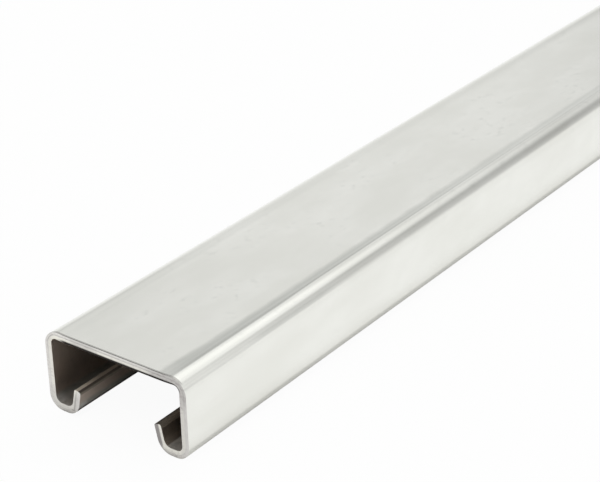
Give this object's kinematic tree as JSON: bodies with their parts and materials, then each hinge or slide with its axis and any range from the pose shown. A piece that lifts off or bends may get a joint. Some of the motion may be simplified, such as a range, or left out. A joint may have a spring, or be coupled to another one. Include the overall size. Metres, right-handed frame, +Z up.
{
  "type": "strut channel",
  "caption": "Low-profile steel strut channel with a plain unslotted back and inturned lips along its open side, for framing held together with channel nuts.",
  "frame": {"origin": "centre of the footprint, on the level that the two feet of the section rest on", "axes": "+X along the length, +Y across the section, +Z up from the open slot side to the solid back"},
  "size_m": [0.6096, 0.0412, 0.0206],
  "materials": {
    "strip_steel": "cold-rolled stainless strip, pale satin with faint mottling"
  },
  "bodies": {
    "root": {"strut_channel": "strip_steel"}
  },
  "joints": []
}
